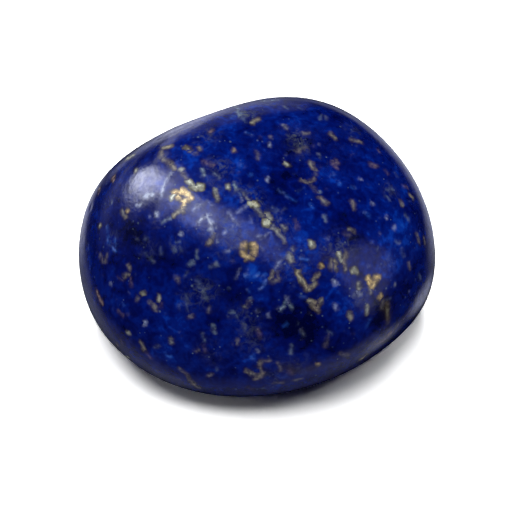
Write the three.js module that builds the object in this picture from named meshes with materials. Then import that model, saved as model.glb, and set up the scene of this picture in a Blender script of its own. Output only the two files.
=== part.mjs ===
// A tumbled and polished lapis lazuli stone: one solid pebble, worn to a few
// broad faces that run into each other over soft edges, and lying on a small
// flat spot.
//
// Millimetres, +Z up. +X runs along the stone's length and +Y across it. The
// origin is the point of the resting plane below the middle of the stone.

import * as THREE from 'three';
import { mergeVertices } from 'three/addons/utils/BufferGeometryUtils.js';

// Driving dimensions ---------------------------------------------------------

// Distance from the stone's middle down to the flat spot that it rests on.
const REST_DEPTH = 9.4;

// How tightly the worn faces meet. A large value would leave crisp edges, and
// a small one would wear the stone to a ball.
const EDGE_SHARPNESS = 7;

// Squares along each edge of the cube that the stone's skin starts from.
const SKIN_SQUARES = 24;

// The worn faces. Each looks along an azimuth (0 is +X, 90 is +Y) and an
// elevation, in degrees, and its plane lies at a distance, in millimetres,
// from the stone's middle.
const WORN_FACES = {
  // the four that show from above, with a soft ridge between crown and front
  crown: { azimuth: 342, elevation: 77, distance: 10.4 },
  front: { azimuth: 261, elevation: 35, distance: 10.6 },
  leftCheek: { azimuth: 204, elevation: 40, distance: 13.0 },
  rightCheek: { azimuth: 320, elevation: 34, distance: 13.2 },

  // the upper rim, from the right end round the back to the left end
  rightEnd: { azimuth: 0, elevation: 0, distance: 17.1 },
  rightShoulder: { azimuth: 25, elevation: 17, distance: 15.2 },
  backRightTop: { azimuth: 54, elevation: 31, distance: 15.1 },
  backTop: { azimuth: 85, elevation: 36, distance: 15.2 },
  backLeftSlope: { azimuth: 117, elevation: 33, distance: 12.0 },
  leftShoulder: { azimuth: 148, elevation: 21, distance: 16.3 },
  leftEnd: { azimuth: 170, elevation: 7, distance: 18.0 },

  // the lower rim, from the left end round the front to the right end
  left: { azimuth: 190, elevation: -7, distance: 18.1 },
  leftLower: { azimuth: 212, elevation: -21, distance: 16.2 },
  frontLeftUnder: { azimuth: 237, elevation: -31, distance: 14.9 },
  frontUnder: { azimuth: 270, elevation: -36, distance: 13.4 },
  frontRightUnder: { azimuth: 301, elevation: -32, distance: 13.2 },
  rightLower: { azimuth: 328, elevation: -21, distance: 16.2 },

  // the far side and the underside
  back: { azimuth: 95, elevation: -10, distance: 14.0 },
  backLeftUnder: { azimuth: 145, elevation: -30, distance: 14.2 },
  backRightUnder: { azimuth: 40, elevation: -30, distance: 14.2 },
  bed: { azimuth: 70, elevation: -88, distance: 9.6 },
};

// Form -----------------------------------------------------------------------

// The unit vector that an azimuth and an elevation in degrees stand for.
function lookingAlong(azimuth, elevation) {
  const fromTop = THREE.MathUtils.degToRad(90 - elevation);
  const around = THREE.MathUtils.degToRad(azimuth);
  return new THREE.Vector3(
    Math.sin(fromTop) * Math.cos(around),
    Math.sin(fromTop) * Math.sin(around),
    Math.cos(fromTop),
  );
}

const facePlanes = Object.values(WORN_FACES).map(
  ({ azimuth, elevation, distance }) => lookingAlong(azimuth, elevation).divideScalar(distance),
);

// How far the worn surface lies from the stone's middle in a direction. On a
// crisp stone that would be the nearest plane; the power mean lets the planes
// that are almost as near round the edge between them.
function wornRadius(direction) {
  const closeness = facePlanes
    .map((plane) => Math.max(direction.dot(plane), 0) ** EDGE_SHARPNESS)
    .reduce((sum, term) => sum + term, 0);
  return closeness ** (-1 / EDGE_SHARPNESS);
}

// A point of the stone's skin, as measured from its middle.
function skinPoint(direction) {
  const point = direction.clone().multiplyScalar(wornRadius(direction));
  if (point.z < -REST_DEPTH) {
    point.multiplyScalar(REST_DEPTH / -point.z).setZ(-REST_DEPTH);
  }
  return point;
}

// Turns a coordinate of a cube with half-edge 1 so that the squares of the
// cube's grid span equal angles as seen from its middle.
const evenAngle = (coordinate) => Math.tan((coordinate * Math.PI) / 4);

function stoneGeometry() {
  const cube = new THREE.BoxGeometry(2, 2, 2, SKIN_SQUARES, SKIN_SQUARES, SKIN_SQUARES);
  cube.deleteAttribute('normal');
  cube.deleteAttribute('uv');
  const skin = mergeVertices(cube);

  const corners = skin.getAttribute('position');
  const direction = new THREE.Vector3();
  for (let i = 0; i < corners.count; i += 1) {
    direction.fromBufferAttribute(corners, i);
    direction.set(evenAngle(direction.x), evenAngle(direction.y), evenAngle(direction.z));
    const point = skinPoint(direction.normalize());
    corners.setXYZ(i, point.x, point.y, point.z + REST_DEPTH);
  }

  // The middle of the stone's length and width goes over the origin.
  skin.computeBoundingBox();
  const middle = skin.boundingBox.getCenter(new THREE.Vector3());
  skin.translate(-middle.x, -middle.y, 0);
  skin.computeVertexNormals();
  return skin;
}

// Stone ----------------------------------------------------------------------

const polishedLapis = new THREE.MeshStandardMaterial({
  name: 'polished lapis lazuli',
  color: 0x0b1c6e,
  roughness: 0.25,
  metalness: 0,
});

const stone = new THREE.Mesh(stoneGeometry(), polishedLapis);
stone.name = 'lapis_stone';

const object = new THREE.Group();
object.name = 'tumbled_lapis_lazuli';
object.add(stone);

export default object;
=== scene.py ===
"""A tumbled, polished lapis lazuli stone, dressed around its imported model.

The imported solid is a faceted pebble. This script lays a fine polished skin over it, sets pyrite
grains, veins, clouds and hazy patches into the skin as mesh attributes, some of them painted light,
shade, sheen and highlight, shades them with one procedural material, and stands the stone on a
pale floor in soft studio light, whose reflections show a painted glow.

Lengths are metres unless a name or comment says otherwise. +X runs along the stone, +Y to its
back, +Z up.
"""

import math
import random

import bpy
import numpy as np
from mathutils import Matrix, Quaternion, Vector, noise
from mathutils.bvhtree import BVHTree
from mathutils.kdtree import KDTree


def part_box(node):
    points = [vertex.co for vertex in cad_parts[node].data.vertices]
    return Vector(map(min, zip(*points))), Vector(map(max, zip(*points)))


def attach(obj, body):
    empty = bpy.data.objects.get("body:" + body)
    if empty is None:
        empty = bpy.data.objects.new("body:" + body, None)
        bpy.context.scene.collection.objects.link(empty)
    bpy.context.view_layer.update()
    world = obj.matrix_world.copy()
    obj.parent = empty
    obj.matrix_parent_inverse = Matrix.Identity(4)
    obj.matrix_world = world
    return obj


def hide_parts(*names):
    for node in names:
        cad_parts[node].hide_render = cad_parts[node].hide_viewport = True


bl_info = {
    "name": "Tumbled Lapis Lazuli",
    "version": (1, 0, 0),
    "blender": (4, 5, 0),
    "location": "3D View > Sidebar > Lapis",
    "description": "Builds a polished lapis lazuli pebble with pyrite grains and its studio",
    "category": "Object",
}

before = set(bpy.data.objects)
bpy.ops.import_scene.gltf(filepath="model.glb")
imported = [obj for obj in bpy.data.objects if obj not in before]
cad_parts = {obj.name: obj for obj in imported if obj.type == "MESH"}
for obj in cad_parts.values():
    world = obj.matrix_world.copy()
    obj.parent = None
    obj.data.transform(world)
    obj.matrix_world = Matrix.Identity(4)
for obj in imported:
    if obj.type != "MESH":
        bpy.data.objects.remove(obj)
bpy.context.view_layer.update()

NODE = "lapis_stone"
BODY = "root"

MM = 0.001
VIEW_PIXELS = 512

# Marks that are set into the stone one by one ----------------
#
# Places are pixels of the main view, 512 by 512, x to the right and y down. Widths and radii are in
# millimetres.

# A stroke is a width, a strength from 0 to 1 and the two places that it runs between. A stroke with
# one place is a grain.
GOLD_STROKES = (
    # the star
    (0.40, 0.95, (174, 192), (181, 192)), (0.44, 0.95, (182, 191), (188, 194)),
    (0.40, 0.95, (188, 194), (191, 198)), (0.42, 1.0, (177, 196), (182, 201)),
    (0.40, 0.95, (189, 199), (184, 201)), (0.36, 0.9, (184, 201), (182, 208)),
    # the ring of grains in the middle
    (0.46, 0.75, (243, 248), (244, 244)), (0.50, 0.85, (253, 245), (255, 248)),
    (0.42, 0.75, (255, 251), (254, 254)), (0.46, 0.90, (251, 258), (248, 258)),
    (0.50, 0.85, (243, 253), (245, 255)),
    # the triangle near the right end
    (0.44, 0.90, (367, 278), (372, 280)), (0.40, 0.80, (374, 278), (379, 277)),
    (0.40, 0.85, (377, 281), (373, 286)), (0.40, 0.90, (369, 281), (372, 287)),
    # loose bright grains
    (0.38, 0.8, (127, 211)), (0.34, 0.65, (318, 364)), (0.40, 0.9, (321, 265)),
    (0.44, 0.95, (380, 297)), (0.34, 0.6, (234, 150)),
)

CREAM_STROKES = (
    # the lump above the star
    (0.40, 0.95, (188, 181), (192, 186)), (0.50, 1.2, (199, 186), (200, 187)),
    (0.42, 1.2, (192, 187), (197, 188)), (0.34, 1.0, (171, 198), (175, 194)),
    (0.28, 0.8, (215, 191), (218, 199)),
    # the long vein down the middle
    (0.38, 0.8, (228, 185), (229, 188)), (0.44, 1.1, (251, 204), (256, 205)),
    (0.32, 0.6, (257, 209), (263, 216)), (0.34, 0.65, (267, 214), (270, 219)),
    (0.50, 1.3, (265, 222), (267, 223)), (0.32, 0.65, (273, 227), (278, 232)),
    (0.34, 0.55, (282, 226), (284, 229)), (0.26, 0.45, (278, 232), (285, 243)),
    (0.32, 0.55, (293, 249)), (0.38, 0.6, (289, 254), (291, 261)),
    (0.30, 0.4, (245, 195), (249, 200)),
    # loose cream grains
    (0.42, 0.85, (311, 242), (312, 246)), (0.34, 0.7, (180, 169), (182, 170)),
    (0.34, 0.75, (285, 163), (288, 165)), (0.40, 0.95, (143, 293)),
    (0.34, 0.7, (158, 297), (158, 300)), (0.36, 1.0, (100, 226)),
    (0.30, 0.85, (338, 254), (343, 260)), (0.40, 1.0, (353, 270), (356, 272)),
    (0.34, 0.7, (359, 283), (359, 289)), (0.32, 0.55, (245, 307)),
    (0.34, 0.65, (128, 333), (129, 333)), (0.34, 0.7, (367, 306), (367, 312)),
    (0.38, 0.9, (125, 356), (129, 358)), (0.36, 0.9, (127, 158), (133, 156)),
    (0.32, 0.8, (136, 170)), (0.26, 0.5, (284, 125), (286, 128)),
    (0.30, 0.6, (171, 339), (171, 342)),
)

PALE_STROKES = (
    # the bent streak in the sheen
    (0.36, 1.0, (198, 222), (203, 218)), (0.34, 0.95, (203, 218), (208, 215)),
    (0.32, 0.85, (208, 216), (211, 223)), (0.34, 0.95, (211, 223), (212, 233)),
    # streaks round the highlight, partly painted highlight that brightens it and carries it lower
    (0.26, 0.9, (172, 173), (166, 180)), (0.28, 0.95, (166, 180), (163, 187)),
    (0.26, 0.95, (163, 187), (161, 195)), (0.34, 1.1, (143, 197), (153, 194)),
    (0.34, 0.9, (137, 206), (140, 205)), (0.44, 1.2, (157, 214)), (0.30, 0.5, (150, 216)),
    # hair veins in the sheen
    (0.28, 0.8, (194, 209), (200, 205)), (0.24, 0.45, (208, 202), (212, 204)),
    (0.34, 0.7, (225, 232)), (0.24, 0.5, (246, 206), (237, 213)),
    (0.28, 0.5, (230, 213), (238, 225)), (0.30, 0.5, (226, 252), (229, 251)),
    (0.26, 0.4, (216, 227), (217, 229)), (0.26, 0.4, (217, 237), (218, 241)),
    (0.26, 0.35, (231, 229), (233, 226)), (0.30, 0.5, (258, 237), (261, 236)),
    (0.28, 0.45, (264, 236), (268, 234)), (0.26, 0.35, (250, 216), (252, 222)),
    (0.26, 0.3, (260, 247), (262, 250)), (0.28, 0.5, (241, 197), (242, 201)),
    # loose pale grains
    (0.32, 0.8, (181, 234), (182, 232)), (0.32, 0.8, (268, 178), (268, 180)),
    (0.30, 0.65, (360, 179)), (0.28, 0.6, (111, 283)), (0.28, 0.4, (268, 314), (269, 317)),
    (0.30, 0.85, (144, 325), (145, 322)), (0.30, 0.6, (270, 144), (270, 146)),
    (0.32, 0.6, (373, 204)), (0.30, 0.6, (386, 217)), (0.30, 0.5, (394, 226), (394, 229)),
    (0.36, 0.9, (333, 281), (336, 284)), (0.38, 0.8, (358, 293), (360, 294)),
    (0.34, 0.35, (353, 296), (355, 294)), (0.28, 0.55, (335, 304), (337, 309)),
    (0.28, 0.45, (320, 145)), (0.26, 0.4, (327, 238), (328, 237)), (0.26, 0.35, (380, 233)),
    (0.30, 0.35, (369, 266)), (0.24, 0.25, (372, 243)), (0.26, 0.4, (409, 292)),
    (0.30, 0.45, (287, 297), (288, 303)), (0.26, 0.3, (240, 268), (236, 278)),
    (0.26, 0.65, (281, 262), (275, 270)), (0.28, 0.25, (278, 309), (280, 308)),
    (0.26, 0.35, (257, 311), (258, 312)), (0.32, 0.75, (257, 351), (258, 352)),
    (0.26, 0.35, (136, 240), (138, 239)),
)

TAN_STROKES = (
    # the chain down to the lump
    (0.38, 0.9, (164, 148), (170, 146)), (0.34, 0.6, (161, 151), (161, 157)),
    (0.34, 0.65, (163, 159), (169, 163)), (0.34, 0.75, (170, 164), (175, 168)),
    (0.24, 0.5, (182, 172), (188, 180)),
    # the tail below the star
    (0.26, 0.9, (173, 216), (183, 209)), (0.28, 0.9, (183, 207), (182, 211)),
    # the brown spot in the star
    (0.20, 0.9, (183, 197)),
    # the cluster at the upper left
    (0.36, 0.95, (186, 147), (189, 148)), (0.30, 0.6, (190, 152), (192, 151)),
    (0.32, 0.65, (198, 147), (199, 150)), (0.26, 0.5, (194, 154), (197, 153)),
    (0.46, 0.7, (252, 123), (258, 119)), (0.34, 0.35, (257, 152), (258, 159)),
    (0.32, 0.4, (271, 137)), (0.34, 0.45, (304, 133), (308, 133)),
    (0.34, 0.45, (298, 151), (300, 150)), (0.32, 0.3, (303, 149), (305, 148)),
    (0.40, 0.65, (331, 134), (335, 138)), (0.42, 0.6, (352, 140), (361, 142)),
    (0.32, 0.7, (310, 163), (315, 170)), (0.28, 0.35, (315, 170), (316, 175)),
    (0.28, 0.55, (301, 180), (308, 183)), (0.24, 0.7, (309, 182), (314, 178)),
    (0.26, 0.4, (309, 184), (318, 192)), (0.36, 0.6, (320, 198), (326, 203)),
    (0.28, 0.6, (352, 201), (354, 209)), (0.38, 0.65, (401, 202), (402, 205)),
    (0.34, 0.7, (410, 195), (412, 197)), (0.34, 0.5, (349, 229), (353, 231)),
    (0.32, 0.25, (345, 233), (350, 236)),
    # the grains right of the middle
    (0.36, 1.0, (298, 272), (301, 280)), (0.36, 0.9, (302, 280), (307, 289)),
    (0.36, 0.8, (307, 289), (315, 283)), (0.34, 0.8, (313, 280), (318, 274)),
    (0.32, 0.75, (274, 271), (270, 279)), (0.30, 0.45, (277, 272), (279, 279)),
    (0.32, 0.5, (271, 281), (278, 280)), (0.30, 0.6, (331, 261), (331, 268)),
    (0.32, 0.8, (335, 262), (336, 268)), (0.26, 0.7, (346, 252), (344, 259)),
    (0.24, 0.7, (344, 260), (345, 271)), (0.32, 0.8, (309, 301), (316, 303)),
    (0.32, 0.75, (321, 300), (317, 308)), (0.32, 0.75, (312, 304), (318, 311)),
    (0.44, 0.6, (350, 313), (351, 318)), (0.30, 0.6, (369, 288), (371, 292)),
    # the left side
    (0.36, 0.55, (122, 211), (126, 217)), (0.36, 0.4, (100, 255), (103, 261)),
    (0.34, 0.45, (107, 254), (105, 261)), (0.36, 0.55, (128, 266), (129, 269)),
    (0.36, 0.55, (124, 277), (128, 275)), (0.30, 0.45, (138, 298), (137, 300)),
    (0.40, 0.55, (151, 303), (156, 308)), (0.38, 0.4, (177, 278), (178, 281)),
    (0.30, 0.6, (213, 233), (213, 239)), (0.34, 0.8, (212, 240), (207, 244)),
    (0.34, 0.65, (141, 343), (144, 350)), (0.30, 0.35, (209, 308), (209, 312)),
    (0.32, 0.5, (190, 317), (193, 316)), (0.36, 0.45, (196, 351), (198, 350)),
    (0.34, 0.5, (208, 376), (211, 375)), (0.30, 0.4, (237, 340), (237, 343)),
    (0.26, 0.4, (250, 300), (246, 306)), (0.30, 0.3, (329, 333), (325, 347)),
    # the zigzag at the bottom
    (0.32, 0.50, (263, 360), (269, 360)), (0.34, 0.60, (262, 361), (260, 366)),
    (0.36, 0.55, (260, 367), (263, 373)), (0.42, 0.65, (263, 373), (257, 378)),
    (0.40, 0.65, (257, 377), (247, 371)), (0.30, 0.45, (278, 363), (281, 370)),
    (0.30, 0.4, (294, 381), (302, 379)), (0.26, 0.4, (274, 383), (283, 383)),
    (0.34, 0.35, (341, 353), (347, 356)), (0.36, 0.85, (360, 360), (366, 355)),
    # the vein at the lower left
    (0.26, 0.5, (179, 368), (187, 375)), (0.30, 0.6, (187, 375), (192, 383)),
    (0.30, 0.8, (192, 383), (198, 388)),
    # the brown stain at the lower right
    (0.46, 0.35, (387, 302), (388, 322)), (0.40, 0.3, (383, 301), (382, 309)),
    # grains on the right rim
    (0.38, 0.5, (417, 234), (419, 242)), (0.34, 0.6, (424, 238), (425, 243)),
    (0.30, 0.5, (409, 264), (410, 268)),
)

ROSE_STROKES = (
    (0.38, 0.7, (210, 132), (212, 130)), (0.36, 0.45, (296, 221), (297, 227)),
    (0.44, 0.5, (333, 163), (337, 163)), (0.34, 0.5, (335, 160), (336, 168)),
    (0.36, 0.6, (371, 165), (377, 166)), (0.32, 0.4, (378, 150), (379, 152)),
    (0.28, 0.4, (386, 171), (388, 174)), (0.36, 0.9, (97, 292), (99, 297)),
    (0.34, 0.8, (99, 297), (102, 303)), (0.30, 0.4, (131, 278), (132, 285)),
    (0.28, 0.3, (118, 278), (122, 280)), (0.34, 0.5, (119, 312), (122, 315)),
    (0.34, 0.4, (146, 352), (151, 358)), (0.28, 0.45, (403, 186), (407, 187)),
    (0.36, 0.7, (385, 339), (391, 333)), (0.32, 0.5, (391, 333), (398, 325)),
    (0.36, 0.6, (376, 344), (384, 341)), (0.32, 0.9, (99, 325), (102, 330)),
    (0.38, 1.2, (113, 178), (114, 179)), (0.36, 0.9, (99, 189), (99, 193)),
    (0.36, 0.45, (204, 162), (214, 165)), (0.30, 0.4, (161, 304), (161, 307)),
    (0.34, 0.35, (257, 330), (260, 337)), (0.40, 0.35, (121, 340), (122, 344)),
    (0.30, 0.3, (204, 345), (205, 352)), (0.40, 0.3, (249, 387), (251, 389)),
    (0.36, 0.3, (289, 371), (293, 374)), (0.30, 0.5, (404, 318), (410, 310)),
)

GREY_STROKES = (
    (0.32, 0.9, (203, 170), (203, 175)), (0.28, 0.6, (214, 174), (220, 177)),
    (0.34, 0.9, (234, 183), (237, 190)), (0.24, 0.5, (237, 190), (241, 197)),
    (0.32, 0.9, (112, 202)), (0.28, 0.45, (319, 154), (320, 158)), (0.34, 0.75, (319, 192)),
    (0.32, 0.65, (325, 217), (326, 220)), (0.34, 0.55, (388, 190), (392, 189)),
    (0.34, 0.45, (386, 197), (389, 200)), (0.36, 0.5, (396, 241), (399, 243)),
    (0.34, 0.4, (402, 250), (404, 257)), (0.34, 0.45, (406, 215), (408, 219)),
    (0.30, 0.65, (377, 249)), (0.34, 0.7, (395, 285)), (0.28, 0.9, (286, 302), (280, 310)),
    (0.28, 0.9, (289, 301), (292, 308)), (0.34, 0.7, (162, 222), (170, 218)),
    (0.28, 0.45, (175, 243), (179, 242)), (0.34, 0.55, (173, 246), (175, 251)),
    (0.32, 0.7, (181, 249)), (0.30, 0.35, (145, 238), (147, 238)),
    (0.42, 0.65, (189, 265), (193, 263)), (0.32, 0.55, (197, 251), (196, 257)),
    (0.42, 0.6, (212, 267), (217, 264)), (0.30, 0.4, (188, 272), (184, 277)),
    (0.30, 0.35, (187, 295), (188, 312)), (0.26, 0.45, (179, 310), (180, 306)),
    (0.28, 0.6, (155, 347), (158, 346)), (0.28, 0.45, (202, 333), (204, 342)),
    (0.34, 0.5, (291, 346), (291, 353)), (0.28, 0.5, (229, 288)),
    (0.32, 0.65, (231, 313), (234, 312)), (0.28, 0.55, (228, 317)),
    (0.30, 0.5, (237, 315), (238, 317)), (0.28, 0.5, (250, 299)),
    (0.38, 0.3, (198, 281), (200, 288)), (0.42, 0.4, (204, 291), (207, 299)),
    (0.38, 0.6, (213, 327), (214, 332)), (0.38, 0.35, (243, 324), (244, 328)),
    (0.30, 0.55, (217, 369)), (0.40, 0.45, (302, 331), (303, 335)),
    (0.36, 0.45, (151, 259), (153, 261)), (0.26, 0.35, (146, 253), (147, 256)),
    (0.26, 0.3, (161, 246), (161, 254)), (0.34, 0.35, (328, 332), (332, 333)),
    (0.36, 0.45, (320, 119), (322, 115)), (0.36, 0.45, (325, 116), (326, 119)),
    (0.34, 0.6, (285, 106), (287, 108)), (0.34, 0.35, (297, 107), (302, 109)),
    (0.30, 0.4, (262, 389), (264, 388)), (0.30, 0.35, (88, 243), (89, 249)),
    (0.34, 0.35, (395, 173), (397, 176)), (0.34, 0.45, (419, 275), (421, 279)),
    (0.34, 0.45, (387, 300), (390, 299)), (0.40, 0.75, (235, 106), (240, 116)),
    (0.34, 0.4, (240, 116), (246, 122)), (0.40, 0.9, (263, 101), (276, 100)),
    (0.26, 0.2, (276, 241), (280, 246)), (0.34, 0.5, (273, 207), (277, 211)),
    (0.28, 0.25, (281, 213), (285, 209)), (0.30, 0.25, (336, 249), (340, 246)),
)

AZURE_STROKES = (
    # small bright blue flecks and lines
    (0.20, 0.45, (278, 189), (286, 196)), (0.24, 0.55, (286, 196), (295, 201)),
    (0.18, 0.35, (304, 187), (298, 192)), (0.30, 0.55, (364, 212), (369, 217)),
    (0.40, 0.8, (246, 275), (249, 275)), (0.38, 0.9, (254, 275), (258, 275)),
    (0.34, 0.5, (262, 277), (265, 275)), (0.30, 0.5, (246, 133), (251, 135)),
    (0.40, 0.9, (241, 165)), (0.32, 0.75, (250, 175)), (0.32, 0.7, (338, 184), (340, 183)),
    (0.30, 0.6, (351, 187), (354, 187)), (0.34, 0.75, (301, 258), (307, 260)),
    (0.34, 0.8, (113, 248), (115, 251)), (0.30, 0.7, (115, 240), (116, 244)),
    (0.34, 0.6, (108, 237), (109, 243)), (0.30, 0.5, (107, 226), (107, 231)),
    (0.34, 0.7, (167, 355), (170, 356)), (0.32, 0.6, (310, 205), (312, 207)),
    (0.28, 0.85, (259, 289), (266, 280)), (0.32, 0.6, (252, 356), (253, 358)),
    (0.36, 0.7, (231, 118), (234, 116)), (0.30, 0.5, (210, 142), (212, 141)),
    (0.30, 0.5, (332, 176), (334, 174)), (0.30, 0.45, (247, 290), (249, 292)),
    (0.30, 0.4, (301, 296), (305, 298)), (0.30, 0.4, (122, 303), (124, 305)),
    (0.30, 0.4, (284, 326), (287, 324)), (0.36, 0.4, (370, 320), (367, 326)),
)

# The kinds of mark, in the order of their colours on one ramp: neighbours blend into each other.
HAND_MARKS = {
    "gold": GOLD_STROKES,
    "cream": CREAM_STROKES,
    "tan": TAN_STROKES,
    "rose": ROSE_STROKES,
    "grey": GREY_STROKES,
    "pale": PALE_STROKES,
    "azure": AZURE_STROKES,
}
KIND_PLACE = {kind: place / (len(HAND_MARKS) - 1) for place, kind in enumerate(HAND_MARKS)}

# A soft patch is a place, a radius and a strength. In the clouds a strength below 0 is darker than
# the rock around it and one above 0 is a brighter blue.
CLOUD_AND_SHADING_PATCHES = (
    # broad clouds, partly painted light: brighter along the sheen band, right rim and upper slopes
    # and partly painted shade: darker on the left face and the front, where less light falls
    ((212, 214), 2.8, 0.45), ((244, 238), 2.0, 0.35), ((395, 232), 3.0, 0.25),
    ((296, 268), 1.6, 0.30), ((205, 130), 2.6, 0.3), ((370, 180), 3.5, 0.1),
    ((130, 250), 3.0, -0.25), ((240, 310), 3.0, -0.12),
    # dark clouds
    ((132, 231), 1.1, -0.8), ((150, 250), 1.8, -0.45), ((165, 262), 1.2, -0.5),
    ((290, 321), 1.6, -0.85), ((268, 322), 1.2, -0.7), ((312, 325), 1.5, -0.7),
    ((237, 292), 1.2, -0.6), ((300, 345), 1.4, -0.5), ((385, 306), 1.2, -1.1),
    ((378, 316), 1.0, -0.8), ((345, 347), 1.3, -0.6), ((278, 195), 1.3, -0.6),
    ((248, 170), 1.0, -0.45), ((330, 150), 1.3, -0.45), ((300, 143), 0.9, -0.6),
    ((290, 172), 0.9, -0.4), ((345, 216), 1.0, -0.45), ((365, 195), 1.3, -0.25),
    ((353, 235), 0.9, -0.5), ((408, 285), 1.2, -0.5), ((415, 215), 1.2, -0.4),
    ((92, 245), 0.9, -0.3), ((190, 290), 1.6, -0.2),
    # bright patches
    ((191, 163), 0.8, 0.7), ((241, 165), 0.7, 0.4), ((167, 356), 0.7, 0.5), ((252, 275), 0.7, 0.4),
    ((236, 166), 0.9, 0.45), ((335, 185), 1.2, 0.3), ((308, 190), 0.8, 0.3),
    ((300, 236), 1.3, 0.45), ((293, 258), 1.3, 0.45), ((318, 253), 0.9, 0.4),
    ((252, 276), 0.8, 0.85), ((263, 279), 0.5, 0.5), ((328, 294), 1.2, 0.6),
    ((340, 312), 1.1, 0.4), ((307, 215), 0.8, 0.3), ((345, 268), 1.2, 0.35),
    ((400, 235), 1.5, 0.3), ((385, 262), 1.2, 0.3), ((112, 243), 0.6, 0.5), ((95, 275), 1.1, 0.3),
    ((165, 352), 1.1, 0.45), ((115, 325), 1.2, 0.15), ((235, 355), 1.3, 0.25),
    ((205, 240), 0.9, 0.3), ((120, 165), 1.0, 0.3), ((230, 122), 1.0, 0.35),
    ((350, 130), 1.3, 0.2), ((250, 360), 0.9, 0.3),
)

HAZE_AND_SHEEN_PATCHES = (
    ((272, 222), 0.9, 0.35), ((254, 203), 0.8, 0.35), ((238, 188), 0.6, 0.35),
    ((283, 230), 0.7, 0.40), ((296, 136), 0.8, 0.45), ((300, 148), 0.7, 0.40),
    ((246, 113), 0.9, 0.60), ((341, 247), 1.1, 0.40), ((390, 190), 0.6, 0.35),
    ((203, 290), 1.0, 0.35), ((187, 299), 0.7, 0.30), ((176, 246), 0.6, 0.40),
    ((290, 262), 0.8, 0.25), ((245, 318), 1.0, 0.28), ((252, 340), 1.2, 0.25),
    ((148, 250), 0.8, 0.25), ((212, 166), 0.8, 0.35), ((360, 297), 0.8, 0.35),
    ((275, 375), 1.2, 0.30), ((300, 366), 1.0, 0.30), ((210, 352), 1.0, 0.20),
    # specks in the sheen, partly painted sheen: pale specks that give the sheen band its grain
    ((196, 205), 0.9, 0.25), ((215, 185), 0.8, 0.25), ((224, 222), 1.1, 0.35),
    ((240, 236), 1.0, 0.30), ((222, 246), 0.9, 0.25), ((205, 134), 1.0, 0.35),
    ((295, 266), 1.4, 0.25),
    # loose hazy places
    ((225, 167), 0.6, 0.45), ((253, 196), 0.7, 0.40), ((297, 142), 0.6, 0.30),
    ((330, 250), 0.8, 0.30), ((352, 130), 0.7, 0.30), ((205, 295), 0.7, 0.25),
    ((244, 114), 0.6, 0.30), ((268, 104), 0.7, 0.40), ((390, 262), 0.8, 0.30),
    ((112, 240), 0.8, 0.30),
)

UMBER_PATCHES = (
    # inside the ring
    ((249, 249), 0.30, 1.0), ((249, 244), 0.25, 0.6),
    # the streak at the lower right
    ((386, 303), 0.40, 0.8), ((387, 310), 0.40, 0.9), ((388, 318), 0.40, 0.8),
    ((387, 328), 0.50, 0.5),
    # the arc at the bottom
    ((288, 366), 0.60, 0.35), ((297, 370), 0.60, 0.40), ((306, 371), 0.50, 0.35),
    ((314, 368), 0.40, 0.30),
    # round the grains right of the middle
    ((326, 257), 0.80, 0.35), ((352, 262), 0.60, 0.30),
)

PATCHES = {"cloud": CLOUD_AND_SHADING_PATCHES, "haze": HAZE_AND_SHEEN_PATCHES, "umber": UMBER_PATCHES}


# Settings -------------------------------------------------


def a_length(name, description, default):
    """A length that the sidebar offers."""
    return bpy.props.FloatProperty(
        name=name, description=description, default=default, subtype="DISTANCE", unit="LENGTH"
    )


def a_count(name, description, default, **limits):
    """A whole number that the sidebar offers, 0 or more unless the limits say otherwise."""
    limits = {"min": 0, **limits}
    return bpy.props.IntProperty(name=name, description=description, default=default, **limits)


def a_tone(name, description, default):
    """A brightness that the sidebar offers."""
    return bpy.props.FloatProperty(name=name, description=description, default=default, min=0)


def a_colour(name, description, default):
    """A colour that the sidebar offers, as linear red, green and blue."""
    return bpy.props.FloatVectorProperty(
        name=name, description=description, default=default, subtype="COLOR", size=3, min=0, max=1
    )


class LapisForm(bpy.types.PropertyGroup):
    """The polished skin's fineness and its real relief."""

    squares: a_count("Skin Squares", "Squares along each edge of the cube", 112, min=16, max=124)
    blend_passes: a_count("Blend Passes", "Passes that smooth the packed model's facets", 24)
    swell: a_length("Swell", "Height of the slow swells that tumbling leaves", 0.035 * MM)
    swell_length: a_length("Swell Length", "Distance from one swell to the next", 5.0 * MM)
    pit_depth: a_length("Pit Depth", "Depth of the pits where soft grains wore away", 0.045 * MM)
    pit_count: a_count("Pits", "How many shallow pits the whole stone has", 36)


class LapisGrains(bpy.types.PropertyGroup):
    """Grains beyond those listed: on the far side, and fine ones all over."""

    far_count: a_count("Far Grains", "Grains and short veins out of the main view's sight", 260)
    fine_count: a_count("Fine Grains", "Very small grains over the whole stone", 700)
    fine_width: a_length("Fine Grain Width", "Width of the very small grains", 0.17 * MM)
    seed: a_count("Seed", "Seed of every random draw", 11)


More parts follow.
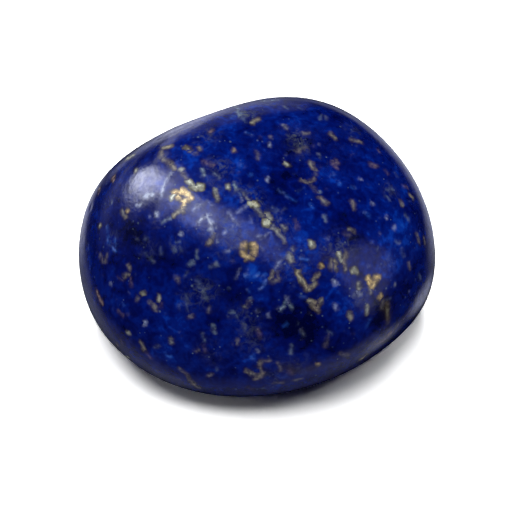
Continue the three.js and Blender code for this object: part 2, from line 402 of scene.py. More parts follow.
class LapisColours(bpy.types.PropertyGroup):
    """The colours of the rock and of its marks."""

    night: a_colour("Night", "The darkest clouds of the rock", (0.0002, 0.0010, 0.026))
    deep: a_colour("Deep", "The common deep blue", (0.0003, 0.0034, 0.088))
    royal: a_colour("Royal", "The purer blue between the clouds", (0.0005, 0.0090, 0.155))
    bright: a_colour("Bright", "The bright blue patches", (0.0020, 0.031, 0.310))
    lightest: a_colour("Lightest", "Small light blue spots", (0.010, 0.09, 0.46))
    # haze and grey also colour the haze and specks painted into the sheen band
    haze: a_colour("Haze", "Grey-green haze of fine calcite", (0.085, 0.100, 0.110))
    stain: a_colour("Stain", "Brown rock round the pyrite", (0.020, 0.013, 0.012))
    gold: a_colour("Gold", "Bright pyrite", (0.64, 0.47, 0.21))
    cream: a_colour("Cream", "Pale pyrite and calcite", (0.52, 0.55, 0.45))
    tan: a_colour("Tan", "Common pyrite grains", (0.29, 0.26, 0.19))
    rose: a_colour("Rose", "Reddish brown grains", (0.21, 0.140, 0.145))
    grey: a_colour("Grey", "Grey-green calcite specks", (0.125, 0.180, 0.23))
    # pale also colours the streaks painted into the highlight
    pale: a_colour("Pale", "White calcite flecks and hair veins", (0.36, 0.41, 0.56))
    azure: a_colour("Azure Fleck", "Bright blue flecks", (0.022, 0.095, 0.44))


class LapisStudio(bpy.types.PropertyGroup):
    """The main view, the floor and the lights."""

    view_elevation: bpy.props.FloatProperty(
        name="View Elevation",
        description="How far above the floor the main view looks from",
        default=math.radians(54),
        subtype="ANGLE",
        unit="ROTATION",
    )
    view_width: a_length("View Width", "Width of the frame at the middle of the stone", 42.8 * MM)
    daylight: a_tone("Daylight", "Strength of the broad lights, against white at 1", 1.0)
    floor_shown: a_tone("Floor Shown", "Tone of the floor in the picture", 1.8)
    floor_bounced: a_tone("Floor Bounced", "Tone of the floor as it lights the stone", 0.5)


# The view -------------------------------------------------

LENS_MM = 100.0
SENSOR_MM = 36.0

# From the middle of the stone's box to the point in the middle of the view.
VIEW_OFFSET = Vector((-0.06 * MM, -1.04 * MM, -1.40 * MM))


class View:
    """The main camera's place and axes, and the rays through the pixels of its frame."""

    def __init__(self, studio):
        low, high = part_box(NODE)
        sine, cosine = math.sin(studio.view_elevation), math.cos(studio.view_elevation)
        self.to_camera = Vector((0.0, -cosine, sine))
        self.right = Vector((1.0, 0.0, 0.0))
        self.up = Vector((0.0, sine, cosine))
        distance = studio.view_width * LENS_MM / SENSOR_MM
        self.eye = (low + high) / 2 + VIEW_OFFSET + self.to_camera * distance
        self.pixels_deep = LENS_MM / SENSOR_MM * VIEW_PIXELS

    def ray(self, x, y):
        """The direction from the eye through a pixel of the main view."""
        middle = VIEW_PIXELS / 2
        sideways = self.right * (x - middle) - self.up * (y - middle)
        return (sideways - self.to_camera * self.pixels_deep).normalized()

    def hit(self, surface, x, y):
        """The point and normal of the surface behind a pixel of the main view."""
        point, normal, _, _ = surface.ray_cast(self.eye, self.ray(x, y))
        if point is None:
            raise RuntimeError(f"the main view shows no stone at {x}, {y}")
        return point, normal


def heading(azimuth, elevation):
    """The unit vector that an azimuth and an elevation in degrees stand for."""
    around, above = math.radians(azimuth), math.radians(elevation)
    flat = math.cos(above)
    return math.cos(around) * flat, math.sin(around) * flat, math.sin(above)


# Skin -----------------------------------------------------


class CubeGrid:
    """A cube whose six sides are square grids, welded along its edges: corners, squares and map."""

    SIDES = ((0, 1, 2), (1, 2, 0), (2, 0, 1))  # the fixed axis, then the two that run
    TURN = ((0, 0), (1, 0), (1, 1), (0, 1))
    MARGIN = 0.012  # of a tile of the map

    def __init__(self, squares):
        steps = squares + 1
        run = np.arange(squares)
        first, second = (a.ravel() for a in np.meshgrid(run, run, indexing="ij"))
        corner_keys, maps = [], []
        for side, (fixed, one, other) in enumerate(self.SIDES):
            for end in (0, 1):
                order = self.TURN if end else self.TURN[::-1]
                index = np.zeros((len(first), 4, 3), int)
                index[:, :, fixed] = end * squares
                for corner, (a, b) in enumerate(order):
                    index[:, corner, one] = first + a
                    index[:, corner, other] = second + b
                corner_keys.append((index * (steps * steps, steps, 1)).sum(2))
                maps.append(self.tile(index[:, :, [one, other]], squares, side, end))
        keys, self.quads = np.unique(np.concatenate(corner_keys), return_inverse=True)
        self.quads = self.quads.reshape(-1, 4)
        self.map = np.concatenate(maps)
        lattice = np.stack([keys // (steps * steps), keys // steps % steps, keys % steps], 1)
        self.directions = np.tan((lattice / squares - 0.5) * (math.pi / 2))

    def tile(self, corners, squares, column, row):
        """Where a side's corners lie on the map: six tiles, three across and two up."""
        inside = self.MARGIN + (1 - 2 * self.MARGIN) * corners / squares
        return (inside + (column, row)) / (3, 2)


def distances(points, place, unit):
    """How far each point lies from a place, in a unit of length."""
    return np.linalg.norm(points - np.array(place), axis=1) / unit


def sums_at(corners, rows, count):
    """For each of so many corners, the sum of the rows that belong to it."""
    sums = [np.bincount(corners, weights=column, minlength=count) for column in rows.T]
    return np.stack(sums, 1)


def neighbour_mean(points, edges):
    """The mean of each corner's neighbours along the edges."""
    ends = np.concatenate([edges, edges[:, ::-1]])
    neighbours = np.bincount(ends[:, 0], minlength=len(points))
    return sums_at(ends[:, 0], points[ends[:, 1]], len(points)) / neighbours[:, None]


def edges_of(quads):
    """The edges of the squares, each once."""
    pairs = np.concatenate([quads[:, [a, (a + 1) % 4]] for a in range(4)])
    return np.unique(np.sort(pairs, 1), axis=0)


def corner_normals(points, quads):
    """The outward normal at each corner, from the diagonals of the squares around it."""
    across = points[quads[:, 2]] - points[quads[:, 0]]
    along = points[quads[:, 3]] - points[quads[:, 1]]
    faces = np.cross(across, along)
    normals = sums_at(quads.ravel(), np.repeat(faces, 4, axis=0), len(points))
    return normals / np.linalg.norm(normals, axis=1, keepdims=True)


def smooth_step(low, high, values):
    """0 below low, 1 above high, and an even curve between."""
    t = np.clip((values - low) / (high - low), 0, 1)
    return t * t * (3 - 2 * t)


def polished_points(form, grid):
    """The fine skin's corners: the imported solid's surface, with its facets blended away."""
    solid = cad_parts[NODE]
    surface = BVHTree.FromObject(solid, bpy.context.evaluated_depsgraph_get())
    low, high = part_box(NODE)
    middle = (low + high) / 2
    stretched = grid.directions * np.array(high - low)
    points = np.empty_like(stretched)
    for i, direction in enumerate(stretched):
        hit = surface.ray_cast(middle, Vector(direction).normalized())[0]
        if hit is None:
            raise RuntimeError("the packed solid is open: a ray from its middle missed it")
        points[i] = hit
    edges = edges_of(grid.quads)
    for _ in range(form.blend_passes):
        points = (points + neighbour_mean(points, edges)) / 2
    points[:, 2] = np.maximum(points[:, 2], low.z)
    return points


# Broad places where tumbling took more off: azimuth and elevation in degrees as seen from the
# stone's middle, then the radius and the depth of the place, in millimetres.
WORN_PLACES = ((128, 30, 4.2, 0.30),)

# The finer of two sets of swells: its share of the height, and how many times as close it comes.
FINE_SWELL_SHARE = 0.35
FINE_SWELL_RATE = 2.3

PIT_RADIUS_MM = (0.25, 0.65)
PIT_DEPTH_SHARE = (0.3, 1.0)
PIT_STEEPNESS = 2.0

RELIEF_STARTS = 0.3 * MM  # above the flat spot that the stone rests on
RELIEF_FULL = 1.5 * MM


def worn_places(points):
    """How far the skin lies in at each corner, in the places that are worn more than the rest."""
    outward = points - (points.max(axis=0) + points.min(axis=0)) / 2
    outward /= np.linalg.norm(outward, axis=1)[:, None]
    inward = np.zeros(len(points))
    for azimuth, elevation, radius, depth in WORN_PLACES:
        place = points[np.argmax(outward @ np.array(heading(azimuth, elevation)))]
        inward += depth * MM * np.exp(-(distances(points, place, radius * MM) ** 2))
    return inward


def slow_swell(points, form):
    """Uneven heights, from -1 to 1, that change slowly over the stone."""
    places = [Vector(p) for p in points / form.swell_length]
    return np.array(
        [noise.noise(p) + FINE_SWELL_SHARE * noise.noise(p * FINE_SWELL_RATE) for p in places]
    )


def pits(points, form, rng):
    """A depth from 0 to 1 at each corner, for shallow round pits at random places."""
    depth = np.zeros(len(points))
    for _ in range(form.pit_count):
        place = points[rng.randrange(len(points))]
        away = distances(points, place, rng.uniform(*PIT_RADIUS_MM) * MM)
        bowl = np.exp(-PIT_STEEPNESS * away**2)
        depth = np.maximum(depth, rng.uniform(*PIT_DEPTH_SHARE) * bowl)
    return depth


def raise_relief(points, form, grid, rng):
    """Swells, pits and worn places, none of them on the flat spot that the stone rests on."""
    clear_of_rest = smooth_step(RELIEF_STARTS, RELIEF_FULL, points[:, 2] - points[:, 2].min())
    height = form.swell * slow_swell(points, form) - form.pit_depth * pits(points, form, rng)
    height -= worn_places(points)
    return points + corner_normals(points, grid.quads) * (height * clear_of_rest)[:, None]


def mesh_from(points, grid):
    """A smooth-shaded mesh of the skin, with the map that a bake would use."""
    mesh = bpy.data.meshes.new("lapis_skin")
    mesh.from_pydata(points.tolist(), [], grid.quads.tolist())
    mesh.polygons.foreach_set("use_smooth", np.ones(len(grid.quads), bool))
    layer = mesh.uv_layers.new(name="OFBake")
    layer.uv.foreach_set("vector", grid.map.reshape(-1).astype(np.float32))
    mesh.update()
    return mesh


# Marks ----------------------------------------------------

# How a mark's strength becomes the share of its colour: a gain and a power.
STRENGTH_GAIN = 1.15
STRENGTH_CURVE = 1.5

NO_LENGTH = 1e-9
HALO = 0.5 * MM  # how far round itself a mark is written into the skin
FAR = 9.0 * MM  # how far from every mark a square counts as lying, where none is near

# The cosine between the line of sight and the skin's normal up to which a mark shows badly.
GRAZING = 0.16

# Random marks: the kinds that they are drawn from, and the ranges of their measures.
FAR_KINDS = ("gold", "cream", "tan", "tan", "tan", "rose", "grey", "grey", "pale", "azure")
FAR_PIECES = (1, 1, 1, 1, 2, 3, 4)
FAR_WIDTH_MM = (0.24, 0.46)
FAR_LENGTH_MM = (0.0, 0.6)
FAR_GAP_MM = (0.15, 0.5)
FAR_STRENGTH = (0.3, 0.95)
FAR_BEND = (-1.0, 1.0)
FINE_KINDS = ("tan", "grey", "grey", "pale", "azure")
FINE_WIDTH_SHARE = (0.7, 1.3)
FINE_LENGTH_MM = (0.0, 0.12)
FINE_STRENGTH = (0.05, 0.22)


class Stroke:
    """A straight mark with round ends, lying on the skin: a grain where it has no length."""

    def __init__(self, start, end, normal, width, kind, strength):
        self.middle = (start + end) / 2
        along = end - start
        self.half_length = along.length / 2
        if along.length < NO_LENGTH:
            along = normal.orthogonal()
        self.along = (along - normal * along.dot(normal)).normalized()
        self.across = normal.cross(self.along)
        self.half_width = width / 2
        share = STRENGTH_GAIN * strength**STRENGTH_CURVE
        self.look = (KIND_PLACE[kind], share, self.half_width / MM)


def hand_strokes(view, surface):
    """The strokes whose places in the main view are listed."""
    strokes = []
    for kind, marks in HAND_MARKS.items():
        for width, strength, *places in marks:
            start, normal = view.hit(surface, *places[0])
            end, _ = view.hit(surface, *places[-1])
            strokes.append(Stroke(start, end, normal, width * MM, kind, strength))
    return strokes


def random_corner(mesh, rng):
    """The point and normal of a random corner of the skin."""
    corner = mesh.vertices[rng.randrange(len(mesh.vertices))]
    return corner.co.copy(), corner.normal.copy()


def turned(direction, normal, angle):
    """A direction along the skin, turned round the skin's normal."""
    return direction * math.cos(angle) + normal.cross(direction) * math.sin(angle)


def unseen_corner(mesh, view, rng):
    """A random corner of the skin that the main view doesn't show, or doesn't show well."""
    while True:
        point, normal = random_corner(mesh, rng)
        if normal.dot((view.eye - point).normalized()) <= GRAZING:
            return point, normal


def far_strokes(mesh, view, grains, rng):
    """Random strokes, single and in short chains, out of the main view's sight."""
    strokes = []
    for _ in range(grains.far_count):
        point, normal = unseen_corner(mesh, view, rng)
        kind = rng.choice(FAR_KINDS)
        turn = rng.uniform(0, 2 * math.pi)
        along = turned(normal.orthogonal().normalized(), normal, turn)
        width = rng.uniform(*FAR_WIDTH_MM) * MM
        for _ in range(rng.choice(FAR_PIECES)):
            end = point + along * rng.uniform(*FAR_LENGTH_MM) * MM
            strength = rng.uniform(*FAR_STRENGTH)
            strokes.append(Stroke(point, end, normal, width, kind, strength))
            along = turned(along, normal, rng.uniform(*FAR_BEND))
            point = end + along * rng.uniform(*FAR_GAP_MM) * MM
    return strokes


def fine_strokes(mesh, grains, rng):
    """Very small random strokes over the whole stone."""
    strokes = []
    for _ in range(grains.fine_count):
        point, normal = random_corner(mesh, rng)
        end = point + normal.orthogonal().normalized() * rng.uniform(*FINE_LENGTH_MM) * MM
        kind = rng.choice(FINE_KINDS)
        width = grains.fine_width * rng.uniform(*FINE_WIDTH_SHARE)
        strokes.append(Stroke(point, end, normal, width, kind, rng.uniform(*FINE_STRENGTH)))
    return strokes


def corner_places(mesh):
    """The places of the mesh's corners, one in each row."""
    places = np.empty(len(mesh.vertices) * 3)
    mesh.vertices.foreach_get("co", places)
    return places.reshape(-1, 3)


def engrave(mesh, quads, strokes):
    """Writes to each square's corners where they lie from the mark nearest to that square.

    stroke_place is the place along and across the mark and the mark's half length, and
    stroke_look its place on the ramp of colours, its strength and its half width. Lengths are
    in millimetres.
    """
    at_corners = corner_places(mesh)[quads]
    centres = at_corners.mean(1)
    tree = KDTree(len(quads))
    for i, centre in enumerate(centres):
        tree.insert(centre, i)
    tree.balance()
    nearest = np.full(len(quads), FAR)
    place = np.full((len(quads), 4, 3), (FAR, FAR, 0.0))
    look = np.zeros((len(quads), 4, 3))
    for stroke in strokes:
        reach = stroke.half_length + stroke.half_width + HALO
        found = np.array([i for _, i, _ in tree.find_range(stroke.middle, reach)], int)
        if not len(found):
            continue
        axes = np.array([stroke.along, stroke.across])
        inside = (centres[found] - np.array(stroke.middle)) @ axes.T
        beyond = np.maximum(np.abs(inside[:, 0]) - stroke.half_length, 0)
        away = np.hypot(beyond, inside[:, 1]) - stroke.half_width
        closer = away < nearest[found]
        found, away = found[closer], away[closer]
        nearest[found] = away
        place[found, :, :2] = (at_corners[found] - np.array(stroke.middle)) @ axes.T
        place[found, :, 2] = stroke.half_length
        look[found] = stroke.look
    for name, values in (("stroke_place", place / MM), ("stroke_look", look)):
        layer = mesh.attributes.new(name, "FLOAT_VECTOR", "CORNER")
        layer.data.foreach_set("vector", values.reshape(-1).astype(np.float32))


def paint_patches(mesh, name, patches, view, surface):
    """Writes the sum of soft round patches to the skin's corners."""
    points = corner_places(mesh)
    total = np.zeros(len(points))
    for place, radius, strength in patches:
        middle, _ = view.hit(surface, *place)
        away = distances(points, middle, radius * MM)
        total += strength * np.exp(-(away**2))
    layer = mesh.attributes.new(name, "FLOAT", "POINT")
    layer.data.foreach_set("value", total.astype(np.float32))


# Shader ---------------------------------------------------

# The patterns in the stone: the size of their patches in millimetres, and then the detail, the
# roughness and the twist of the noise that they come from.
PATTERNS = {
    "broad": (2.2, 2.0, 0.5, 0.4),
    "patchy": (0.5, 2.0, 0.6, 0.5),
    "fine": (0.20, 1.0, 0.5, 0.0),
    "veil": (0.28, 4.0, 0.7, 1.0),
    "ragged": (0.34, 2.0, 0.5, 0.0),
    "crystals": (0.20, 2.0, 0.5, 0.0),
    "tint": (0.35, 1.0, 0.5, 0.0),
    "wear": (0.9, 3.0, 0.6, 0.0),
    "glaze": (0.24, 3.0, 0.65, 0.0),
    "tiny": (0.17, 2.0, 0.55, 0.0),
    "slow": (0.55, 2.0, 0.5, 0.0),
}


def overload(operation):
    """An operator between flows and numbers, and its reflected form, as Math nodes."""

    def forward(self, other):
        return self.shader.node("Math", self, other, operation=operation)

    def reflected(self, other):
        return self.shader.node("Math", other, self, operation=operation)

    return forward, reflected


class Flow:
    """A value that runs through a material: arithmetic on it adds the Math nodes."""

    def __init__(self, shader, socket):
        self.shader, self.socket = shader, socket

    __add__, __radd__ = overload("ADD")
    __sub__, __rsub__ = overload("SUBTRACT")
    __mul__, __rmul__ = overload("MULTIPLY")
    __truediv__, __rtruediv__ = overload("DIVIDE")
    __pow__, __rpow__ = overload("POWER")
    at_least = overload("MAXIMUM")[0]

    def __abs__(self):
        return self.shader.node("Math", self, operation="ABSOLUTE")

    def between(self, start, end):
        """0 at start, 1 at end, and an even curve between; start may be the larger."""
        return self.shader.node(
            "MapRange", self, start, end, 0.0, 1.0, interpolation_type="SMOOTHSTEP"
        )


class Shader:
    """Adds nodes to a material. Its patterns lie in the object's own coordinates."""

    def __init__(self, name):
        self.material = bpy.data.materials.new(name)
        self.material.use_nodes = True
        self.tree = self.material.node_tree
        self.tree.nodes.clear()
        self.where = self.node("TexCoord", out="Object")

    def feed(self, socket, value):
        """Links a flow to a socket, or sets the socket to a number, a place or a colour."""
        if isinstance(value, Flow):
            self.tree.links.new(value.socket, socket)
        else:
            socket.default_value = (*value, 1.0) if socket.type == "RGBA" else value

    def node(self, kind, *values, out=None, **named):
        """Adds a node and returns the output with the name in out, or else its first.

        Values fill the inputs in order. A name with a capital is that of an input, with _ for a
        space, and any other is that of a setting. Settings are set first.
        """
        made = self.tree.nodes.new("ShaderNode" + kind)
        for name, value in named.items():
            if name == "stops":
                self.set_stops(made.color_ramp.elements, value)
            elif name[0].islower():
                setattr(made, name, value)
        inputs = [s for s in made.inputs if s.enabled]
        for socket, value in zip(inputs, values):
            self.feed(socket, value)
        for name, value in named.items():
            if name[0].isupper():
                self.feed(next(s for s in inputs if s.name == name.replace("_", " ")), value)
        for socket in made.outputs:
            if socket.enabled and out in (None, socket.name):
                return Flow(self, socket)
        return None

    @staticmethod
    def set_stops(elements, stops):
        """Gives a ramp its stops, each a place and a colour."""
        while len(elements) < len(stops):
            elements.new(1.0)
        for element, (place, colour) in zip(elements, stops):
            element.position = place
            element.color = (*colour, 1.0)

    def attribute(self, name, out="Fac"):
        """What the mesh's attribute of that name holds."""
        return self.node("Attribute", attribute_name=name, out=out)

    def pattern(self, name, out=None):
        """One of the patterns in the stone, from 0 to 1."""
        size, detail, roughness, twist = PATTERNS[name]
        return self.node(
            "TexNoise",
            Vector=self.where,
            Scale=0.5 / (size * MM),
            Detail=detail,
            Roughness=roughness,
            Distortion=twist,
            out=out,
        )

    def split(self, vector):
        """A vector's three parts."""
        first = self.node("SeparateXYZ", vector)
        return [Flow(self, s) for s in first.socket.node.outputs]

    def mix(self, share, under, over):
        """The colour under, with a share of the colour over laid on it."""
        return self.node("Mix", share, under, over, data_type="RGBA")


# The rock: where each blue lies on the ramp, the middle tone, and how far it swings.
BLUES = {"night": 0.12, "deep": 0.38, "royal": 0.58, "bright": 0.78, "lightest": 1.00}
ROCK_TONE = 0.47
CLOUD_AND_SHADING_SWING = 0.30
PATTERN_SWINGS = {"broad": 0.45, "patchy": 0.72, "fine": 0.38}

VEIL = (0.40, 0.75)  # where the haze's pattern starts and is full
HAZE_STRENGTH = 1.3

# Specks: how far apart, the share of places that have one, their radius in shares of the
# spacing, and their strength.
SPECK_SPACING = 0.42 * MM
SPECKS_IN_HAZE, SPECKS_IN_ROCK, SPECK_ONSET = 0.5, 0.16, 0.08
SPECK_RADIUS, SPECK_GROWTH, SPECK_CORE = 0.16, 0.22, 0.04
SPECK_STRENGTH, SPECK_SPREAD = 0.15, 0.45

# Marks: how uneven their sides are, the depths inside the edge, or outside it where below 0,
# between which they fade in, and how much their crystals vary.
RAGGED_MM = 0.55
MARK_FADE_MM = (-0.24, 0.25)
MARK_CURVE = 1.8
CRYSTALS = (0.33, 0.67)
MARK_DIM, CRYSTAL_GAIN = 0.34, 0.95
TINT_SWING = 0.22

# Round the pyrite the rock is stained brown, and its grains hold some metal. Kinds are places on
# the ramp of marks.
STAIN_FADE_MM = (-0.26, 0.02)
STAINED_KINDS, METAL_KINDS = (0.62, 0.45), (0.42, 0.25)
STAIN_STRENGTH, UMBER_STRENGTH, METAL_SHARE = 0.72, 0.85, 0.3

# The polish: its roughness, its glaze and its very fine relief.
ROUGHNESS, WEAR_SWING, MARK_ROUGHNESS = 0.17, 0.10, 0.12
GLAZE = (0.37, 0.63)
GLAZE_WEIGHT, GLAZE_ROUGHNESS = 0.34, 0.16
TINY_HEIGHT, MARK_DIP = 0.9, 0.2
RELIEF_STRENGTH, RELIEF_DEPTH = 0.8, 0.017 * MM
REFRACTION = 1.455


def stops_of(places, colours):
    """The stops of a ramp, from the places of the named colours."""
    return [(place, getattr(colours, name)) for name, place in places.items()]


def rock_colour(s, colours):
    """The blue rock: broad clouds, partly painted light and shade, smaller patches and a fine
    crystal grain.
    """
    # The patches' attribute holds the rock's clouds, and in the broad ones painted light and shade.
    tone = ROCK_TONE + s.attribute("cloud") * CLOUD_AND_SHADING_SWING
    for name, swing in PATTERN_SWINGS.items():
        tone = tone + (s.pattern(name) - 0.5) * swing
    return s.node("ValToRGB", tone, stops=stops_of(BLUES, colours))


def haze_share(s):
    """How much of the hazy calcite lies over the rock."""
    # In the sheen band the haze is partly painted sheen.
    return s.attribute("haze") * s.pattern("veil").between(*VEIL) * HAZE_STRENGTH


def speck_share(s):
    """Tiny soft specks of calcite and pyrite, closest together where the rock is hazy."""
    # In the sheen band the specks are partly painted sheen, standing in for its grain.
    cells = {"Vector": s.where, "Scale": 1 / SPECK_SPACING}
    away = s.node("TexVoronoi", out="Distance", **cells)
    draw, size, tone = s.split(s.node("TexVoronoi", out="Color", **cells))
    wanted = s.attribute("haze") * SPECKS_IN_HAZE + SPECKS_IN_ROCK
    present = (wanted - draw).between(0.0, SPECK_ONSET)
    dot = away.between(SPECK_RADIUS + size * SPECK_GROWTH, SPECK_CORE)
    return dot * present * (SPECK_STRENGTH + tone * SPECK_SPREAD)


def mark_distance(s):
    """How far a point lies from its mark's middle line, in millimetres, with uneven sides."""
    along, across, half_length = s.split(s.attribute("stroke_place", "Vector"))
    uneven_along, uneven_across, _ = s.split(s.pattern("ragged", "Color"))
    along = along + (uneven_along - 0.5) * RAGGED_MM
    across = across + (uneven_across - 0.5) * RAGGED_MM
    beyond = (abs(along) - half_length).at_least(0.0)
    return (beyond * beyond + across * across) ** 0.5


def mark_share(s, depth):
    """How strongly a mark shows: uneven crystals in its middle that fade out into the rock."""
    crystals = s.pattern("crystals").between(*CRYSTALS)
    return depth.between(*MARK_FADE_MM) ** MARK_CURVE * (MARK_DIM + crystals * CRYSTAL_GAIN)


def mark_colour(s, kind, colours):
    """A mark's full colour, which wanders a little towards that of its neighbours on the ramp."""
    kind = kind + (s.pattern("tint") - 0.5) * TINT_SWING
    return s.node("ValToRGB", kind, stops=stops_of(KIND_PLACE, colours))


def lapis_material(colours):
    """Polished lapis lazuli, from one set of procedural patterns."""
    s = Shader("polished_lapis_lazuli")
    rock = s.mix(haze_share(s), rock_colour(s, colours), colours.haze)
    rock = s.mix(speck_share(s), rock, colours.grey)

    kind, strength, half_width = s.split(s.attribute("stroke_look", "Vector"))
    depth = half_width - mark_distance(s)
    stain = depth.between(*STAIN_FADE_MM) * strength * kind.between(*STAINED_KINDS)
    stain = stain * STAIN_STRENGTH + s.attribute("umber") * UMBER_STRENGTH
    share = mark_share(s, depth) * strength
    colour = s.mix(share, s.mix(stain, rock, colours.stain), mark_colour(s, kind, colours))

    wear = (s.pattern("wear") - 0.5) * WEAR_SWING
    height = s.pattern("tiny") * TINY_HEIGHT + s.pattern("slow") - share * MARK_DIP
    relief = s.node("Bump", Strength=RELIEF_STRENGTH, Distance=RELIEF_DEPTH, Height=height)
    surface = s.node(
        "BsdfPrincipled",
        Base_Color=colour,
        Roughness=ROUGHNESS + wear + share * MARK_ROUGHNESS,
        Metallic=share * kind.between(*METAL_KINDS) * METAL_SHARE,
        Normal=relief,
        Coat_Weight=s.pattern("glaze").between(*GLAZE) * GLAZE_WEIGHT,
        Coat_Roughness=GLAZE_ROUGHNESS,
        IOR=REFRACTION,
    )
    s.node("OutputMaterial", surface)
    return s.material


# Painted light on the floor, which only the polish's reflections see: glowing pools, each a place
# and a radius in millimetres, and a tone.
GLOWING_FLOOR_POOLS = (
    ((19, -12), 7, 0.42), ((21.5, -2), 5.5, 0.62), ((17, -18), 11, 0.19), ((25, -22), 11, 0.20),
    ((23, 18), 20, 0.48), ((30, 46), 30, 0.34), ((-30, 62), 24, 0.50), ((-27, 34), 13, 0.35),
    ((-100, 62), 60, 0.35), ((-23, 13), 10, 0.55), ((-24, 1), 12, 0.17), ((-9, -13), 5, 0.12),
    ((-20, -13), 16, 0.17), ((-12, -15), 9, 0.06), ((2, -19), 18, 0.12), ((14, -30), 14, 0.24),
    ((4, -48), 14, 0.13),
)
POOL_CORE = 0.25  # share of the radius inside which a pool has its full tone
FLOOR_TINT = (0.94, 0.98, 1.25)

# The glow is held dark beside the stone, a painted shade: the stone's half length and half width
# in millimetres, and how many times as far out the pale parts start and are full.
STONE_HALVES_MM = (15.0, 13.0)
PALE_FROM = (0.75, 1.45)

# Glowing strips of painted light run off behind the stone: the direction across them, their outer
# and inner edge as shares of the distance with their tone, and how far behind the stone they start
# and are full.
ACROSS_STRIPS = (0.951, 0.309)
STRIPS = ((0.22, 0.06, 0.62), (0.60, 0.15, 0.46))
STRIPS_FROM = (5 * MM, 70 * MM)


def painted_floor_glow(s):
    """The floor as the polish shows it: a painted glow, dark beside the stone and pale in pools
    around it.
    """
    across, along, _ = s.split(s.where)
    tone = 0.0
    for (x, y), radius, level in GLOWING_FLOOR_POOLS:
        place = (x * MM, y * MM, 0.0)
        away = s.node("VectorMath", s.where, place, operation="DISTANCE", out="Value") / MM
        tone = tone + away.between(radius, POOL_CORE * radius) * level
    aside = abs(along * ACROSS_STRIPS[1] + across * ACROSS_STRIPS[0]) / along.at_least(MM)
    strips = 0.0
    for outer, inner, level in STRIPS:
        strips = strips + aside.between(outer, inner) * level
    tone = tone + strips * along.between(*STRIPS_FROM)
    half_length, half_width = STONE_HALVES_MM
    beside = ((across / half_length) ** 2 + (along / half_width) ** 2) ** 0.5 / MM
    return s.node("Emission", FLOOR_TINT, tone * beside.between(*PALE_FROM))


def floor_material(studio):
    """A pale floor: overexposed in the picture, dimmer where the stone receives it, a painted glow
    in its polish.
    """
    s = Shader("studio_floor")
    bounced = s.node("BsdfDiffuse", [studio.floor_bounced] * 3)
    shown = s.node("BsdfDiffuse", [studio.floor_shown] * 3)
    glossy = s.node("LightPath", out="Is Glossy Ray")
    camera = s.node("LightPath", out="Is Camera Ray")
    received = s.node("MixShader", glossy, bounced, painted_floor_glow(s))
    s.node("OutputMaterial", s.node("MixShader", camera, received, shown))
    s.material.cycles.emission_sampling = "NONE"
    return s.material


# Operators ------------------------------------------------


def place_object(name, data):
    """A new object in the scene."""
    made = bpy.data.objects.new(name, data)
    bpy.context.scene.collection.objects.link(made)
    return made


def face(made, point, direction):
    """Stands an object at a point, with its back to a direction."""
    made.location = point
    made.rotation_mode = "QUATERNION"
    made.rotation_quaternion = direction.to_track_quat("Z", "Y")


class LAPIS_OT_stone(bpy.types.Operator):
    """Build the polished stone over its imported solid"""

    bl_idname = "lapis.stone"
    bl_label = "Build Stone"

    def execute(self, context):
        scene = context.scene
        form, grains = scene.lapis_form, scene.lapis_grains
        rng = random.Random(grains.seed)
        view = View(scene.lapis_studio)
        grid = CubeGrid(form.squares)
        points = raise_relief(polished_points(form, grid), form, grid, rng)
        mesh = mesh_from(points, grid)
        stone = place_object("polished_stone", mesh)

        surface = BVHTree.FromPolygons(points.tolist(), grid.quads.tolist())
        strokes = hand_strokes(view, surface)
        strokes += far_strokes(mesh, view, grains, rng)
        strokes += fine_strokes(mesh, grains, rng)
        engrave(mesh, grid.quads, strokes)
        for name, patches in PATCHES.items():
            paint_patches(mesh, name, patches, view, surface)
        mesh.materials.append(lapis_material(scene.lapis_colours))

        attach(stone, BODY)
        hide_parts(NODE)
        return {"FINISHED"}


# Lights that the polish doesn't mirror: azimuth and elevation, and the width of the light as the
# stone sees it, all in degrees, then the strength.
DAYLIGHT = {
    "near_top": (257, 74, 14, 0.51),
    "far_top": (98, 78, 12, 0.47),
    "left": (207, 45, 14, 0.05),
    "right": (305, 68, 10, 0.13),
    "far_right": (60, 40, 14, 0.08),
    "far_left": (128, 44, 14, 0.09),
}

# Softboxes that only the polish mirrors: azimuth and elevation of their middle, width and height
# as the stone sees them, and a clockwise turn, all in degrees, then the brightness of their face.
SOFTBOXES = {
    "key_core": (164, 24, 14, 28, -28, 3.0),
    "key": (164, 25, 22, 42, -28, 4.5),
    "key_glow": (167, 29, 28, 52, -28, 2.4),
    "key_veil": (195, 38, 14, 24, 0, 1.4),
    "key_tail": (153, 9, 12, 16, 0, 2.4),
    "shoulder": (180, 57, 44, 34, 0, 1.55),
    "bridge": (219, 58, 32, 32, 0, 1.9),
    "front_end": (252, 59, 36, 38, 0, 1.0),
    "right_end": (336, 25, 34, 50, 0, 0.6),
    "far_end": (120, 16, 12, 18, 0, 1.1),
    "far_left": (138, 30, 14, 16, 0, 1.3),
    "far_back": (108, 5, 16, 22, 0, 1.0),
    "far_veil": (98, 10, 44, 36, 0, 0.22),
}
SOFTBOX_DISTANCE = 0.30
SOFTBOX_COLOUR = (0.93, 0.97, 1.18)
SOFTBOX_AIM = Vector((0, 0, 9 * MM))  # the point that the softboxes face

FLOOR_HALF = 3.0  # from the middle of the floor to its edges


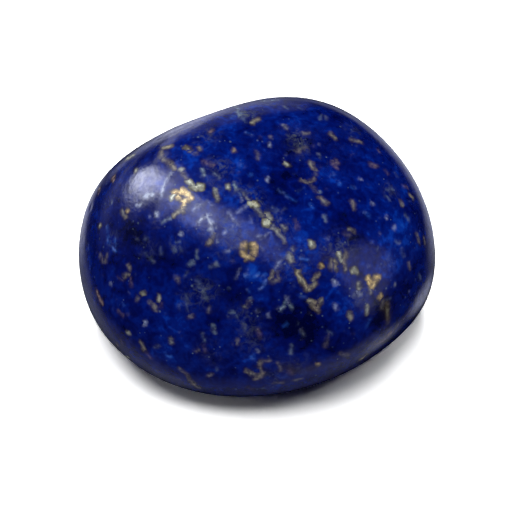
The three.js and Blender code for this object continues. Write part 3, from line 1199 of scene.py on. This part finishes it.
class LAPIS_OT_studio(bpy.types.Operator):
    """Set up the camera, the floor and the lights"""

    bl_idname = "lapis.studio"
    bl_label = "Set Up Studio"

    def execute(self, context):
        studio = context.scene.lapis_studio
        self.camera(studio)
        self.floor(studio)
        for name, place in DAYLIGHT.items():
            self.daylight(name, *place, studio.daylight)
        for name, place in SOFTBOXES.items():
            self.softbox(name, *place)
        self.backdrop(context.scene)
        context.scene.view_settings.view_transform = "Standard"
        return {"FINISHED"}

    def camera(self, studio):
        view = View(studio)
        data = bpy.data.cameras.new("main_view")
        data.lens = LENS_MM
        data.sensor_width = SENSOR_MM
        data.clip_start = MM
        camera = place_object("main_view", data)
        face(camera, view.eye, view.to_camera)
        bpy.context.scene.camera = camera

    def floor(self, studio):
        signs = ((-1, -1), (1, -1), (1, 1), (-1, 1))
        corners = [(x * FLOOR_HALF, y * FLOOR_HALF, 0) for x, y in signs]
        mesh = bpy.data.meshes.new("studio_floor")
        mesh.from_pydata(corners, [], [(0, 1, 2, 3)])
        mesh.materials.append(floor_material(studio))
        place_object("studio_floor", mesh)

    def daylight(self, name, azimuth, elevation, wide, strength, level):
        data = bpy.data.lights.new(name, "SUN")
        data.energy = math.pi * strength * level
        data.angle = math.radians(wide)
        light = place_object(name, data)
        face(light, (0, 0, 1), Vector(heading(azimuth, elevation)))
        light.visible_glossy = False

    def softbox(self, name, azimuth, elevation, wide, high, turn, brightness):
        data = bpy.data.lights.new(name, "AREA")
        data.shape = "ELLIPSE"
        data.size = 2 * SOFTBOX_DISTANCE * math.tan(math.radians(wide / 2))
        data.size_y = 2 * SOFTBOX_DISTANCE * math.tan(math.radians(high / 2))
        face_area = math.pi / 4 * data.size * data.size_y
        data.energy = brightness * math.pi * face_area
        data.color = SOFTBOX_COLOUR
        light = place_object(name, data)
        direction = Vector(heading(azimuth, elevation))
        face(light, SOFTBOX_AIM + direction * SOFTBOX_DISTANCE, direction)
        light.rotation_quaternion @= Quaternion((0, 0, 1), math.radians(turn))
        light.visible_diffuse = False
        light.visible_camera = False

    @staticmethod
    def backdrop(scene):
        """A white that only the camera sees."""
        world = bpy.data.worlds.new("pale_backdrop")
        world.use_nodes = True
        world.node_tree.nodes["Background"].inputs["Color"].default_value = (1, 1, 1, 1)
        for ray in ("diffuse", "glossy", "transmission", "scatter"):
            setattr(world.cycles_visibility, ray, False)
        scene.world = world


class LAPIS_PT_sidebar(bpy.types.Panel):
    """The stone's settings and the buttons that build it"""

    bl_label = "Tumbled Lapis Lazuli"
    bl_idname = "LAPIS_PT_sidebar"
    bl_space_type = "VIEW_3D"
    bl_region_type = "UI"
    bl_category = "Lapis"

    def draw(self, context):
        for group in SETTINGS:
            box = self.layout.box()
            box.label(text=group.removeprefix("lapis_").capitalize())
            settings = getattr(context.scene, group)
            for name in settings.__annotations__:
                box.prop(settings, name)
        for operator in OPERATORS:
            self.layout.operator(operator.bl_idname)


# Registration ---------------------------------------------

SETTINGS = {
    "lapis_form": LapisForm,
    "lapis_grains": LapisGrains,
    "lapis_colours": LapisColours,
    "lapis_studio": LapisStudio,
}
OPERATORS = (LAPIS_OT_studio, LAPIS_OT_stone)
CLASSES = (*SETTINGS.values(), *OPERATORS, LAPIS_PT_sidebar)


def register():
    for made in CLASSES:
        bpy.utils.register_class(made)
    for name, group in SETTINGS.items():
        setattr(bpy.types.Scene, name, bpy.props.PointerProperty(type=group))


def unregister():
    for name in SETTINGS:
        delattr(bpy.types.Scene, name)
    for made in reversed(CLASSES):
        bpy.utils.unregister_class(made)


def main():
    register()
    bpy.ops.lapis.studio()
    bpy.ops.lapis.stone()


if __name__ == "__main__":
    main()
